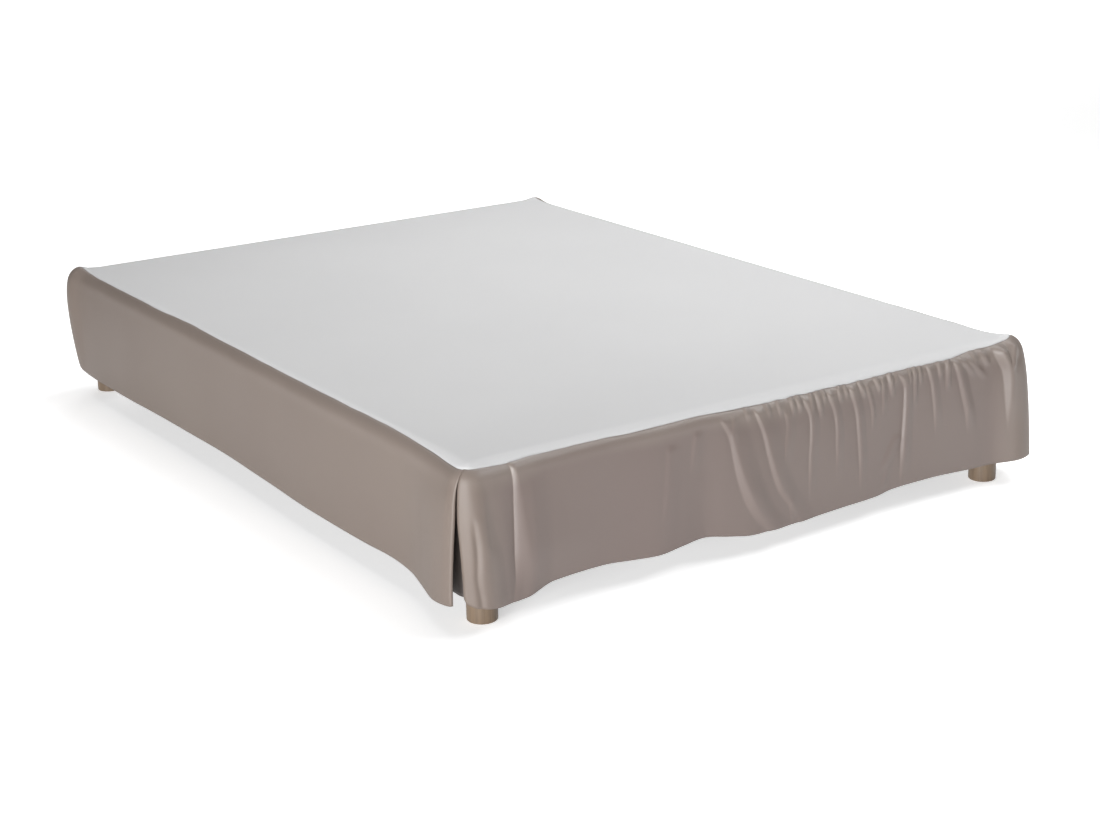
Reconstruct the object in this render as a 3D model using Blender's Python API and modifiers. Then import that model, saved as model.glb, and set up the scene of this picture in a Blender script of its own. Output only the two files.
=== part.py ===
"""A fitted bed skirt on a plain box-spring bed base.

The origin is on the floor, under the middle of the base.  The foot end faces -Y, the head end +Y, and
left and right are as seen from the foot end, so the left side faces -X.  The skirt is a pale platform
cloth with a taupe drop sewn to it on both sides and at the foot end.  The corners at the foot end are
open pleats with a cloth insert behind them.  The head end has no drop.

Every cloth piece is one open surface with its thickness added evenly to both faces.  It follows the
base at a distance along the skirt, counted from the middle of the foot end, positive to the right.
"""

import math

import bmesh
import bpy
from mathutils import Vector

# The bed base
BASE_WIDTH = 1.40
BASE_LENGTH = 1.90
BASE_DEPTH = 0.170
BASE_ROUND = 0.030
BASE_UNDER_ROUND = 0.004
BASE_ROUND_STEPS = 4

# The feet
FOOT_HEIGHT = 0.150
FOOT_DIAMETER = 0.060
FOOT_EDGE_ROUND = 0.003
FOOT_FROM_SIDE = 0.050
FOOT_FROM_END = 0.033
FOOT_SIDES = 32

# The cloth, and the air between its layers
CLOTH = 0.0015
SEAT_GAP = 0.0004
LAYER_GAP = 0.0008
SEAM_GAP = 0.0007
EDGE_CLEARANCE = 0.002
SHOULDER = 0.031

# The platform's head hem hangs this far below the rounded edge
HEAD_HEM_DROP = 0.018
# Each side drop carries on round the head corner by this much
HEAD_WRAP = 0.030
# The corner inserts reach this far along each side of the corner
INSERT_REACH = 0.050
INSERT_HEM_HEIGHT = 0.064

# The longest facet along the skirt, and how many rows of facets each sheet has
FOOT_STEP = 0.022
SIDE_STEP = 0.070
CORNER_STEP = 0.0082
INSERT_STEP = 0.017
SHOULDER_ROWS = 2
FOOT_HANGING_ROWS = 7
SIDE_HANGING_ROWS = 6
INSERT_HANGING_ROWS = 4
PLATFORM_SHOULDER_ROWS = 4
PLATFORM_FLAT_RIM = 0.030
ROW_CROWDING = 1.15

# Worked out from the sizes above
BASE_TOP = FOOT_HEIGHT + BASE_DEPTH
INSERT_OFFSET = EDGE_CLEARANCE + CLOTH / 2
DROP_OFFSET = INSERT_OFFSET + CLOTH + LAYER_GAP
SHOULDER_X = BASE_WIDTH / 2 + DROP_OFFSET - SHOULDER
SHOULDER_Y = BASE_LENGTH / 2 + DROP_OFFSET - SHOULDER
SHOULDER_Z = BASE_TOP + SEAT_GAP + CLOTH / 2 - SHOULDER
QUARTER_TURN = SHOULDER * math.pi / 2
SIDE_START = SHOULDER_X + QUARTER_TURN
SIDE_MIDDLE = SIDE_START + SHOULDER_Y
SIDE_END = SIDE_START + 2 * SHOULDER_Y
HEAD_START = SIDE_END + QUARTER_TURN
HEAD_MIDDLE = HEAD_START + SHOULDER_X

# The foot drop: metres right of the middle, the seam's angle over the rounded edge in degrees, how far
# the seam is lifted off the edge, the hem's height, and how far the hem stands out from the straight fall
FOOT_DROP = (
    # along, seam, lift, hem height, stands out
    (-0.700, 49, 0.004, 0.057, 0.030),
    (-0.665, 50, 0.002, 0.055, 0.036),
    (-0.630, 53, 0.000, 0.048, 0.032),
    (-0.590, 52, 0.000, 0.048, 0.019),
    (-0.555, 48, 0.000, 0.055, 0.009),
    (-0.520, 47, 0.000, 0.061, 0.003),
    (-0.400, 46, 0.000, 0.062, 0.003),
    (-0.330, 50, 0.000, 0.056, 0.007),
    (-0.270, 49, 0.000, 0.053, 0.012),
    (-0.215, 48, 0.000, 0.057, 0.008),
    (-0.155, 47, 0.000, 0.060, 0.003),
    (-0.105, 52, 0.000, 0.053, 0.012),
    (-0.050, 55, 0.000, 0.046, 0.021),
    (0.010, 57, 0.000, 0.047, 0.022),
    (0.070, 57, 0.000, 0.046, 0.020),
    (0.200, 57, 0.000, 0.049, 0.015),
    (0.290, 56, 0.000, 0.050, 0.011),
    (0.340, 55, 0.000, 0.055, 0.007),
    (0.450, 54, 0.000, 0.057, 0.008),
    (0.510, 54, 0.000, 0.055, 0.009),
    (0.560, 43, 0.000, 0.053, 0.011),
    (0.620, 42, 0.001, 0.053, 0.014),
    (0.665, 37, 0.006, 0.056, 0.034),
    (0.700, 33, 0.012, 0.060, 0.048),
)

# The side drops: metres from the bed's middle towards the head, then as above; the last column is how
# far the cloth bellies out half way down
LEFT_DROP = (
    # along, seam, lift, hem height, stands out, bellies out
    (-0.944, 49, 0.004, 0.058, 0.037, 0.000),
    (-0.920, 48, 0.003, 0.054, 0.036, 0.000),
    (-0.880, 44, 0.000, 0.051, 0.032, 0.000),
    (-0.820, 36, 0.000, 0.054, 0.018, 0.000),
    (-0.760, 30, 0.000, 0.058, 0.006, 0.000),
    (-0.680, 25, 0.000, 0.061, 0.002, 0.001),
    (-0.580, 24, 0.000, 0.058, 0.003, 0.002),
    (-0.450, 26, 0.000, 0.056, 0.005, 0.002),
    (-0.300, 27, 0.000, 0.057, 0.006, 0.001),
    (-0.150, 26, 0.000, 0.060, 0.004, 0.001),
    (0.020, 24, 0.000, 0.062, 0.001, 0.002),
    (0.160, 23, 0.000, 0.063, 0.002, 0.002),
    (0.300, 20, 0.000, 0.061, 0.003, 0.002),
    (0.430, 28, 0.000, 0.060, 0.005, 0.001),
    (0.600, 27, 0.000, 0.058, 0.008, 0.002),
    (0.800, 28, 0.000, 0.056, 0.009, 0.004),
    (0.885, 25, 0.002, 0.056, 0.008, 0.010),
    (0.923, 23, 0.007, 0.059, 0.009, 0.024),
    (0.947, 28, 0.009, 0.063, 0.011, 0.027),
    (0.972, 34, 0.005, 0.064, 0.010, 0.018),
    (1.003, 38, 0.000, 0.062, 0.006, 0.006),
)
RIGHT_DROP = (
    # along, seam, lift, hem height, stands out, bellies out
    (-0.944, 33, 0.012, 0.061, 0.048, 0.000),
    (-0.920, 36, 0.007, 0.058, 0.042, 0.000),
    (-0.870, 31, 0.000, 0.055, 0.031, 0.000),
    (-0.790, 22, 0.000, 0.055, 0.014, 0.001),
    (-0.640, 20, 0.000, 0.059, 0.003, 0.002),
    (-0.430, 22, 0.000, 0.060, 0.004, 0.001),
    (-0.340, 30, 0.000, 0.059, 0.006, 0.001),
    (-0.120, 32, 0.000, 0.057, 0.009, 0.002),
    (0.110, 29, 0.000, 0.060, 0.005, 0.002),
    (0.290, 31, 0.000, 0.062, 0.002, 0.001),
    (0.450, 27, 0.000, 0.061, 0.003, 0.002),
    (0.500, 34, 0.000, 0.061, 0.004, 0.002),
    (0.660, 30, 0.000, 0.058, 0.007, 0.002),
    (0.810, 31, 0.000, 0.057, 0.008, 0.004),
    (0.885, 29, 0.001, 0.056, 0.008, 0.008),
    (0.923, 28, 0.005, 0.054, 0.006, 0.016),
    (0.947, 31, 0.007, 0.053, 0.004, 0.020),
    (0.972, 35, 0.004, 0.054, 0.003, 0.014),
    (1.003, 38, 0.000, 0.056, 0.004, 0.005),
)

# The open pleat at a foot corner: where the cut edges of the side drop and of the foot drop lie,
# in degrees round the corner from the foot end
PLEAT_EDGES = (
    # share of the way down, side drop, foot drop
    (0.00, 52, 49),
    (0.10, 61, 58),
    (0.36, 62, 58),
    (0.57, 65, 49),
    (0.82, 66, 46),
    (1.00, 66, 45),
)
# A pleat's opening moves the cloth this far along the skirt from its edge
PLEAT_BLEND = 0.080
SIDE_EDGE = 0
FOOT_EDGE = 1

# How soon a drop stands out below its seam, how much its belly leans to the top, and how fast the
# seam's lift dies away
FLARE_BEND = 0.35
BELLY_LEAN = 0.6
LIFT_FALLOFF = 3

# The main ridges of the foot drop
FOOT_RIDGES = (
    # along at the top, at the hem, top height, low height, stands out, half width
    (-0.608, -0.581, 0.312, 0.060, 0.006, 0.015),
    (-0.244, -0.264, 0.275, 0.100, 0.003, 0.016),
    (-0.115, -0.012, 0.290, 0.055, 0.008, 0.014),
    (-0.033, 0.064, 0.296, 0.060, 0.007, 0.014),
    (0.093, 0.112, 0.305, 0.100, 0.004, 0.013),
    (0.158, 0.185, 0.305, 0.140, 0.004, 0.013),
    (0.216, 0.252, 0.306, 0.080, 0.005, 0.013),
    (0.350, 0.364, 0.309, 0.070, 0.006, 0.013),
    (0.426, 0.464, 0.309, 0.150, 0.005, 0.013),
    (0.507, 0.562, 0.305, 0.140, 0.006, 0.014),
    (0.643, 0.684, 0.303, 0.120, 0.009, 0.020),
)

# Shares of a ridge's length: where it has risen, where it starts to fade, and how long it fades
RIDGE_RISE = 0.25
RIDGE_FULL = 0.80
RIDGE_FADE = 0.45

TAUPE = (0.31, 0.27, 0.235)
PALE_GREY = (0.66, 0.66, 0.665)
TICKING = (0.78, 0.77, 0.75)
LIGHT_WOOD = (0.50, 0.36, 0.22)


def clear_scene():
    """Remove everything that is in the file."""
    for thing in list(bpy.data.objects):
        bpy.data.objects.remove(thing, do_unlink=True)


def new_collection(name):
    """An empty collection in the scene."""
    group = bpy.data.collections.new(name)
    bpy.context.scene.collection.children.link(group)
    return group


def plain_material(name, colour, roughness):
    """A single-colour finish."""
    material = bpy.data.materials.new(name)
    material.use_nodes = True
    shader = material.node_tree.nodes["Principled BSDF"]
    shader.inputs["Base Color"].default_value = (*colour, 1.0)
    shader.inputs["Roughness"].default_value = roughness
    shader.inputs["Metallic"].default_value = 0.0
    return material


def read_table(rows, place):
    """The values at a place, on a smooth curve through the table's rows."""
    place = min(max(place, rows[0][0]), rows[-1][0])
    index = 0
    while index < len(rows) - 2 and rows[index + 1][0] <= place:
        index += 1
    before = rows[max(index - 1, 0)]
    low = rows[index]
    high = rows[index + 1]
    after = rows[min(index + 2, len(rows) - 1)]
    span = high[0] - low[0]
    share = (place - low[0]) / span
    values = []
    for column in range(1, len(low)):
        slope_low = (high[column] - before[column]) / (high[0] - before[0])
        slope_high = (after[column] - low[column]) / (after[0] - low[0])
        values.append(
            low[column] * (1 + 2 * share) * (1 - share) ** 2
            + high[column] * (3 - 2 * share) * share**2
            + slope_low * span * share * (1 - share) ** 2
            - slope_high * span * (1 - share) * share**2
        )
    return values


def ease(share):
    """0 to 1 with a soft start and end."""
    share = min(max(share, 0.0), 1.0)
    return share * share * (3 - 2 * share)


def ring_frame(along):
    """The shoulder's centre and outward direction, in plan, at a distance along the skirt."""
    side = math.copysign(1.0, along)
    rest = abs(along)
    if rest <= SHOULDER_X:
        return Vector((along, -SHOULDER_Y)), Vector((0.0, -1.0))
    if rest <= SIDE_START:
        turn = (rest - SHOULDER_X) / SHOULDER
        outward = Vector((side * math.sin(turn), -math.cos(turn)))
        return Vector((side * SHOULDER_X, -SHOULDER_Y)), outward
    if rest <= SIDE_END:
        return Vector((side * SHOULDER_X, rest - SIDE_MIDDLE)), Vector((side, 0.0))
    if rest <= HEAD_START:
        turn = (rest - SIDE_END) / SHOULDER
        outward = Vector((side * math.cos(turn), math.sin(turn)))
        return Vector((side * SHOULDER_X, SHOULDER_Y)), outward
    return Vector((side * (HEAD_MIDDLE - rest), SHOULDER_Y)), Vector((0.0, 1.0))


def arc_height(fall):
    """The height of the cloth at a fall over the rounded edge."""
    if fall < QUARTER_TURN:
        return SHOULDER_Z + SHOULDER * math.cos(fall / SHOULDER)
    return SHOULDER_Z - (fall - QUARTER_TURN)


def cloth_point(along, fall, proud):
    """A point of the cloth, fall metres over the rounded edge and standing proud of it."""
    centre, outward = ring_frame(along)
    tilt = min(fall / SHOULDER, math.pi / 2)
    spot = centre + outward * ((SHOULDER + proud) * math.sin(tilt))
    return Vector((spot.x, spot.y, arc_height(fall) + proud * math.cos(tilt)))


def standing_out(share, lift, hem, belly):
    """How far the cloth hangs outside the straight fall, at a share of the way down to the hem."""
    share = max(share, 0.0)
    flare = hem * (1 + FLARE_BEND) * share / (FLARE_BEND + share)
    bulge = belly * math.sqrt(max(4 * share * (1 - share), 0.0)) * (1 - BELLY_LEAN * share)
    return flare + bulge + lift * (1 - min(share, 1.0)) ** LIFT_FALLOFF


def ridge_relief(along, height):
    """How far the foot drop's ridges lift it at a place."""
    lift = 0.0
    for top, hem, top_height, low_height, rise, half_width in FOOT_RIDGES:
        share = (top_height - height) / (top_height - low_height)
        if share <= 0.0:
            continue
        middle = top + (hem - top) * min(share, 1.0)
        fade = ease(share / RIDGE_RISE) * (1.0 - ease((share - RIDGE_FULL) / RIDGE_FADE))
        lift += rise * fade * math.exp(-(((along - middle) / half_width) ** 2))
    return lift


def pleat_place(share, drop):
    """Where a drop's edge at the pleat lies, in metres along the skirt, at a share of the way down."""
    return SHOULDER_X + SHOULDER * math.radians(read_table(PLEAT_EDGES, share)[drop])


def seam_line(along):
    """The fall and the lift of the seam, straight between the rows of its table."""
    rows, place = FOOT_DROP, along
    if abs(along) > pleat_place(0.0, FOOT_EDGE):
        rows = LEFT_DROP if along < 0 else RIGHT_DROP
        place = abs(along) - SIDE_MIDDLE
    place = min(max(place, rows[0][0]), rows[-1][0])
    low, high = next(pair for pair in zip(rows, rows[1:]) if place <= pair[1][0])
    share = (place - low[0]) / (high[0] - low[0])
    angle = low[1] + (high[1] - low[1]) * share
    lift = low[2] + (high[2] - low[2]) * share
    return SHOULDER * math.radians(angle), lift


def drop_fall(row, rows, seam_fall, hem_height):
    """Fall over the edge and share of the drop from seam to hem, for a row below the seam."""
    if row <= SHOULDER_ROWS:
        fall = seam_fall + (QUARTER_TURN - seam_fall) * row / SHOULDER_ROWS
    else:
        straight = ((row - SHOULDER_ROWS) / (rows - SHOULDER_ROWS)) ** ROW_CROWDING
        fall = QUARTER_TURN + (SHOULDER_Z - hem_height) * straight
    seam_height = arc_height(seam_fall)
    return fall, (seam_height - arc_height(fall)) / (seam_height - hem_height)


def pleat_shift(along, share, drop):
    """How far the pleat's opening moves a point of a drop along the skirt, at a share of the way down."""
    opening = pleat_place(share, drop) - pleat_place(0.0, drop)
    return opening * (1.0 - ease(abs(along - pleat_place(0.0, drop)) / PLEAT_BLEND))


def foot_drop_point(along, row, rows):
    """A point of the foot drop, row rows below the seam."""
    seam_fall, lift = seam_line(along)
    _, _, hem_height, flare = read_table(FOOT_DROP, along)
    fall, share = drop_fall(row, rows, seam_fall + SEAM_GAP / 2, hem_height)
    place = math.copysign(abs(along) + pleat_shift(abs(along), share, FOOT_EDGE), along)
    proud = standing_out(share, lift, flare, 0.0) + ridge_relief(place, arc_height(fall))
    return cloth_point(place, fall, proud)


def side_drop_point(side, along, row, rows):
    """A point of the left (-1) or right (1) drop, row rows below the seam."""
    seam_fall, lift = seam_line(side * along)
    table = LEFT_DROP if side < 0 else RIGHT_DROP
    _, _, hem_height, flare, belly = read_table(table, along - SIDE_MIDDLE)
    fall, share = drop_fall(row, rows, seam_fall + SEAM_GAP / 2, hem_height)
    place = along + pleat_shift(along, share, SIDE_EDGE)
    return cloth_point(side * place, fall, standing_out(share, lift, flare, belly))


def finish_sheet(bm, name, material, group):
    """Make an object of an open surface and give it the cloth's thickness."""
    mesh = bpy.data.meshes.new(name)
    bm.to_mesh(mesh)
    bm.free()
    mesh.materials.append(material)
    mesh.shade_smooth()
    cloth = bpy.data.objects.new(name, mesh)
    group.objects.link(cloth)
    thicken = cloth.modifiers.new("cloth thickness", "SOLIDIFY")
    thicken.thickness = CLOTH
    thicken.offset = 0.0
    thicken.use_even_offset = True
    return cloth


def hanging_sheet(name, places, rows, point_at, material, group):
    """A sheet with one column of facets between each two places and the given number of rows."""
    columns = len(places) - 1
    bm = bmesh.new()
    bmesh.ops.create_grid(bm, x_segments=columns, y_segments=rows, size=1.0)
    for vertex in bm.verts:
        column = round((vertex.co.x + 1) / 2 * columns)
        row = round((1 - vertex.co.y) / 2 * rows)
        vertex.co = point_at(places[column], row, rows)
    return finish_sheet(bm, name, material, group)


def divided(marks, step):
    """The marks, with evenly spaced places between them no further apart than the step."""
    places = [marks[0]]
    for start, end in zip(marks, marks[1:]):
        pieces = max(math.ceil((end - start) / step - 0.01), 1)
        places += [start + (end - start) * piece / pieces for piece in range(1, pieces + 1)]
    return places


def foot_marks():
    """Places of the foot drop's table rows between the rounded corners."""
    return [row[0] for row in FOOT_DROP if abs(row[0]) < SHOULDER_X]


def side_marks(table):
    """Places of a side drop's table rows between the rounded corners."""
    return [row[0] + SIDE_MIDDLE for row in table if abs(row[0]) < SHOULDER_Y]


def add_foot_drop(material, group):
    """The drop of the foot end, from pleat to pleat."""
    corner = divided([SHOULDER_X, pleat_place(0.0, FOOT_EDGE)], CORNER_STEP)
    straight = divided([-SHOULDER_X] + foot_marks() + [SHOULDER_X], FOOT_STEP)
    places = [-place for place in reversed(corner[1:])] + straight + corner[1:]
    rows = SHOULDER_ROWS + FOOT_HANGING_ROWS
    hanging_sheet("drop_foot", places, rows, foot_drop_point, material, group)


def add_side_drop(side, table, name, material, group):
    """The drop of one side, from its pleat to just past the head corner."""
    places = divided([pleat_place(0.0, SIDE_EDGE), SIDE_START], CORNER_STEP)
    places += divided([SIDE_START] + side_marks(table) + [SIDE_END], SIDE_STEP)[1:]
    places += divided([SIDE_END, HEAD_START], CORNER_STEP)[1:]
    places += divided([HEAD_START, HEAD_START + HEAD_WRAP], HEAD_WRAP / 2)[1:]

    def point_at(along, row, rows):
        return side_drop_point(side, along, row, rows)

    hanging_sheet(name, places, SHOULDER_ROWS + SIDE_HANGING_ROWS, point_at, material, group)


def insert_point(along, row, rows):
    """A point of a pleat's insert, which hangs from the seam behind the drops, close to the base."""
    seam_fall, lift = seam_line(along)
    fall, share = drop_fall(row, rows, seam_fall + SEAM_GAP / 2, INSERT_HEM_HEIGHT)
    return cloth_point(along, fall, standing_out(share, lift, 0.0, 0.0) - CLOTH - LAYER_GAP)


def add_corner_insert(side, name, material, group):
    """The strip behind a pleat, which wraps round a foot corner."""
    places = divided([SHOULDER_X - INSERT_REACH, SHOULDER_X], INSERT_STEP)
    places += divided([SHOULDER_X, pleat_place(0.0, FOOT_EDGE)], CORNER_STEP)[1:]
    places += divided([pleat_place(0.0, SIDE_EDGE), SIDE_START], CORNER_STEP)
    places += divided([SIDE_START, SIDE_START + INSERT_REACH], INSERT_STEP)[1:]
    places = [side * place for place in places]
    hanging_sheet(name, places, SHOULDER_ROWS + INSERT_HANGING_ROWS, insert_point, material, group)


def half_round(table):
    """Places round the platform from a foot corner to the middle of the head end, on one side."""
    places = divided([SHOULDER_X, pleat_place(0.0, FOOT_EDGE)], CORNER_STEP)
    places += divided([pleat_place(0.0, SIDE_EDGE), SIDE_START], CORNER_STEP)
    places += side_marks(table)
    places += divided([SIDE_END, HEAD_START], CORNER_STEP)
    places += divided([HEAD_START, HEAD_START + 2 * HEAD_WRAP], HEAD_WRAP / 3)[1:]
    return places + divided([HEAD_START + 2 * HEAD_WRAP, HEAD_MIDDLE], SHOULDER_X / 3)[1:]


def platform_places():
    """Places all round the platform, which include every place where the seam's line bends."""
    left = [-place for place in reversed(half_round(LEFT_DROP)[:-1])]
    return foot_marks() + half_round(RIGHT_DROP) + left


def platform_point(along, row):
    """A point of the platform over the rounded edge; its last row is the seam or the head hem."""
    seam_fall, lift = seam_line(along)
    past_drop = ease((abs(along) - HEAD_START - HEAD_WRAP) / HEAD_WRAP)
    edge_fall = seam_fall - SEAM_GAP / 2
    edge_fall += (QUARTER_TURN + HEAD_HEM_DROP - edge_fall) * past_drop
    share = row / PLATFORM_SHOULDER_ROWS
    return cloth_point(along, edge_fall * share, lift * ease(share))


def flat_point(along, inset):
    """A point on the flat top, inset metres inside the rounded edge's start."""
    centre, _ = ring_frame(along)
    x = max(-SHOULDER_X + inset, min(SHOULDER_X - inset, centre.x))
    y = max(-SHOULDER_Y + inset, min(SHOULDER_Y - inset, centre.y))
    return Vector((x, y, SHOULDER_Z + SHOULDER))


def add_platform(material, group):
    """The cloth on top of the base: a flat middle, then rows over the rounded edge."""
    places = platform_places()
    bm = bmesh.new()
    bmesh.ops.create_circle(bm, cap_ends=True, segments=len(places), radius=1.0)
    station = bm.verts.layers.int.new("station")
    bm.verts.ensure_lookup_table()
    for index, vertex in enumerate(bm.verts):
        vertex[station] = index
        vertex.co = flat_point(places[index], PLATFORM_FLAT_RIM)
    border = list(bm.edges)
    for row in range(PLATFORM_SHOULDER_ROWS + 1):
        grown = bmesh.ops.extrude_edge_only(bm, edges=border)["geom"]
        border = [item for item in grown if isinstance(item, bmesh.types.BMEdge)]
        for vertex in [item for item in grown if isinstance(item, bmesh.types.BMVert)]:
            vertex.co = platform_point(places[vertex[station]], row)
    bmesh.ops.remove_doubles(bm, verts=bm.verts, dist=0.00001)
    bmesh.ops.recalc_face_normals(bm, faces=bm.faces)
    finish_sheet(bm, "platform", material, group)


def add_base(material, group):
    """The box-spring base with its padded, rounded edges."""
    bm = bmesh.new()
    bmesh.ops.create_cube(bm, size=1.0)
    bmesh.ops.scale(bm, vec=(BASE_WIDTH, BASE_LENGTH, BASE_DEPTH), verts=bm.verts)
    bmesh.ops.translate(bm, vec=(0.0, 0.0, FOOT_HEIGHT + BASE_DEPTH / 2), verts=bm.verts)
    under = [edge for edge in bm.edges if all(v.co.z < FOOT_HEIGHT + SEAT_GAP for v in edge.verts)]
    padded = [edge for edge in bm.edges if edge not in under]
    bmesh.ops.bevel(bm, geom=padded, offset=BASE_ROUND, segments=BASE_ROUND_STEPS, profile=0.5,
                    affect="EDGES")
    under = [edge for edge in bm.edges if all(v.co.z < FOOT_HEIGHT + SEAT_GAP for v in edge.verts)]
    bmesh.ops.bevel(bm, geom=under, offset=BASE_UNDER_ROUND, segments=2, profile=0.5, affect="EDGES")
    mesh = bpy.data.meshes.new("base_box")
    bm.to_mesh(mesh)
    bm.free()
    mesh.materials.append(material)
    mesh.shade_smooth()
    mesh.set_sharp_from_angle(angle=math.radians(40))
    group.objects.link(bpy.data.objects.new("base_box", mesh))


def add_feet(material, group):
    """Four round feet that meet the base's underside."""
    height = FOOT_HEIGHT - SEAT_GAP
    for end, end_sign in (("foot", -1), ("head", 1)):
        for side, side_sign in (("left", -1), ("right", 1)):
            name = f"leg_{end}_{side}"
            bm = bmesh.new()
            bmesh.ops.create_cone(bm, cap_ends=True, segments=FOOT_SIDES, radius1=FOOT_DIAMETER / 2,
                                  radius2=FOOT_DIAMETER / 2, depth=height)
            mesh = bpy.data.meshes.new(name)
            bm.to_mesh(mesh)
            bm.free()
            mesh.materials.append(material)
            mesh.shade_smooth()
            mesh.set_sharp_from_angle(angle=math.radians(40))
            leg = bpy.data.objects.new(name, mesh)
            leg.location = (
                side_sign * (BASE_WIDTH / 2 - FOOT_FROM_SIDE),
                end_sign * (BASE_LENGTH / 2 - FOOT_FROM_END),
                height / 2,
            )
            group.objects.link(leg)
            soften = leg.modifiers.new("softened ends", "BEVEL")
            soften.width = FOOT_EDGE_ROUND
            soften.segments = 2
            soften.limit_method = "ANGLE"


clear_scene()
bed = new_collection("bed_skirt_on_base")
drop_cloth = plain_material("taupe cloth", TAUPE, 0.85)
platform_cloth = plain_material("pale platform cloth", PALE_GREY, 0.9)
base_cover = plain_material("base ticking", TICKING, 0.9)
leg_wood = plain_material("light wood", LIGHT_WOOD, 0.5)

add_base(base_cover, bed)
add_feet(leg_wood, bed)
add_platform(platform_cloth, bed)
add_foot_drop(drop_cloth, bed)
add_side_drop(-1, LEFT_DROP, "drop_left", drop_cloth, bed)
add_side_drop(1, RIGHT_DROP, "drop_right", drop_cloth, bed)
add_corner_insert(-1, "corner_insert_left", drop_cloth, bed)
add_corner_insert(1, "corner_insert_right", drop_cloth, bed)
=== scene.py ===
"""A fitted bed skirt on a box-spring bed base.

The base stands on four turned wooden feet.  The skirt is a pale platform cloth with a taupe drop sewn
to it on both sides and at the foot end, open pleats at the two foot corners, and an insert behind each.
"""

import math

import bmesh
import bpy
from mathutils import Matrix, Vector, noise


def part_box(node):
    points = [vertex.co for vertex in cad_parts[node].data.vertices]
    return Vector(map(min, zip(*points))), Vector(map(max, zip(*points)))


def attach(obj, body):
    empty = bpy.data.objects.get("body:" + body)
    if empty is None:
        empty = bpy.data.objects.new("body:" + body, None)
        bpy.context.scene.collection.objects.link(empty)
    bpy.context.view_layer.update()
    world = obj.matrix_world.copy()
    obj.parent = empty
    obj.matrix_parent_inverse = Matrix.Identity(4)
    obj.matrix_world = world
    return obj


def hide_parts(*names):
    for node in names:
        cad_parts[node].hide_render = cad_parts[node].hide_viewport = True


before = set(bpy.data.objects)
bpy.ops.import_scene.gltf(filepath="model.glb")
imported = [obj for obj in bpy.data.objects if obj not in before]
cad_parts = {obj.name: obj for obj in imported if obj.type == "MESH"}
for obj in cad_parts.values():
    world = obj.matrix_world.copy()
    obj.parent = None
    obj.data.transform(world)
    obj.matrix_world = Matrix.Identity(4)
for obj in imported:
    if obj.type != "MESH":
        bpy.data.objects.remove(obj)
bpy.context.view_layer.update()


# ------------------------------------------------------------------ The bed base
# A softwood frame padded on top and at the sides and covered in woven cotton ticking.  The padding rounds
# its upper and upright edges, and a black dust cloth is stapled over the underside.

EDGE_ROUND = 0.030
UNDER_ROUND = 0.004
EDGE_STEPS = 8
UNDER_STEPS = 3
COVER_GRID = 0.045
COVER_UNEVEN = 0.0006
COVER_WAVES = 7.0
TICKING_LIGHT = (0.60, 0.59, 0.565, 1.0)
TICKING_SHADE = (0.555, 0.548, 0.530, 1.0)
DUST_CLOTH = (0.020, 0.020, 0.022, 1.0)
DUST_CLOTH_FIBRE = (0.045, 0.045, 0.048, 1.0)


def start_material(name):
    """A new node material, its node tree, its Principled shader and the place on the piece."""
    material = bpy.data.materials.new(name)
    material.use_nodes = True
    tree = material.node_tree
    place = tree.nodes.new("ShaderNodeTexCoord").outputs["Object"]
    return material, tree, tree.nodes["Principled BSDF"], place


def add_node(tree, kind, values, **links):
    """A node of a kind, with values on its sockets and sockets fed from other nodes' outputs."""
    node = tree.nodes.new(kind)
    for socket, value in values.items():
        node.inputs[socket].default_value = value
    for socket, output in links.items():
        tree.links.new(output, node.inputs[socket.replace("_", " ")])
    return node


def two_tones(tree, share, first, second, start=0.3, end=0.7):
    """A colour that passes from the first tone to the second as the share passes from start to end."""
    ramp = tree.nodes.new("ShaderNodeValToRGB")
    ramp.color_ramp.elements[0].position = start
    ramp.color_ramp.elements[0].color = first
    ramp.color_ramp.elements[1].position = end
    ramp.color_ramp.elements[1].color = second
    tree.links.new(share, ramp.inputs["Fac"])
    return ramp.outputs["Color"]


def worked_out(tree, operation, *terms):
    """The result of a Math node, each term another node's output or a number."""
    node = tree.nodes.new("ShaderNodeMath")
    node.operation = operation
    for socket, term in zip(node.inputs, terms):
        if isinstance(term, bpy.types.NodeSocket):
            tree.links.new(term, socket)
        else:
            socket.default_value = term
    return node.outputs[0]


def sum_of(tree, first, second, first_share, second_share):
    """first * first_share + second * second_share, for heights and tones."""
    scaled = worked_out(tree, "MULTIPLY", first, first_share)
    return worked_out(tree, "MULTIPLY_ADD", second, second_share, scaled)


def emboss(tree, shader, height, strength, depth):
    """Raise a surface's fine pattern by its height."""
    bump = add_node(tree, "ShaderNodeBump", {"Strength": strength, "Distance": depth}, Height=height)
    tree.links.new(bump.outputs["Normal"], shader.inputs["Normal"])


def ticking():
    """Off-white cotton ticking: a fine twill with a dry, matt surface."""
    material, tree, shader, place = start_material("cotton_ticking")
    patches = add_node(tree, "ShaderNodeTexNoise", {"Scale": 9.0, "Detail": 5.0}, Vector=place)
    bands = {"Scale": 260.0, "Distortion": 1.2, "Detail": 2.0}
    twill = add_node(tree, "ShaderNodeTexWave", bands, Vector=place)
    twill.bands_direction = "DIAGONAL"
    tone = sum_of(tree, patches.outputs["Fac"], twill.outputs["Fac"], 0.8, 0.2)
    tree.links.new(two_tones(tree, tone, TICKING_SHADE, TICKING_LIGHT), shader.inputs["Base Color"])
    emboss(tree, shader, twill.outputs["Fac"], 0.35, 0.0006)
    shader.inputs["Roughness"].default_value = 0.85
    shader.inputs["Sheen Weight"].default_value = 0.15
    return material


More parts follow.
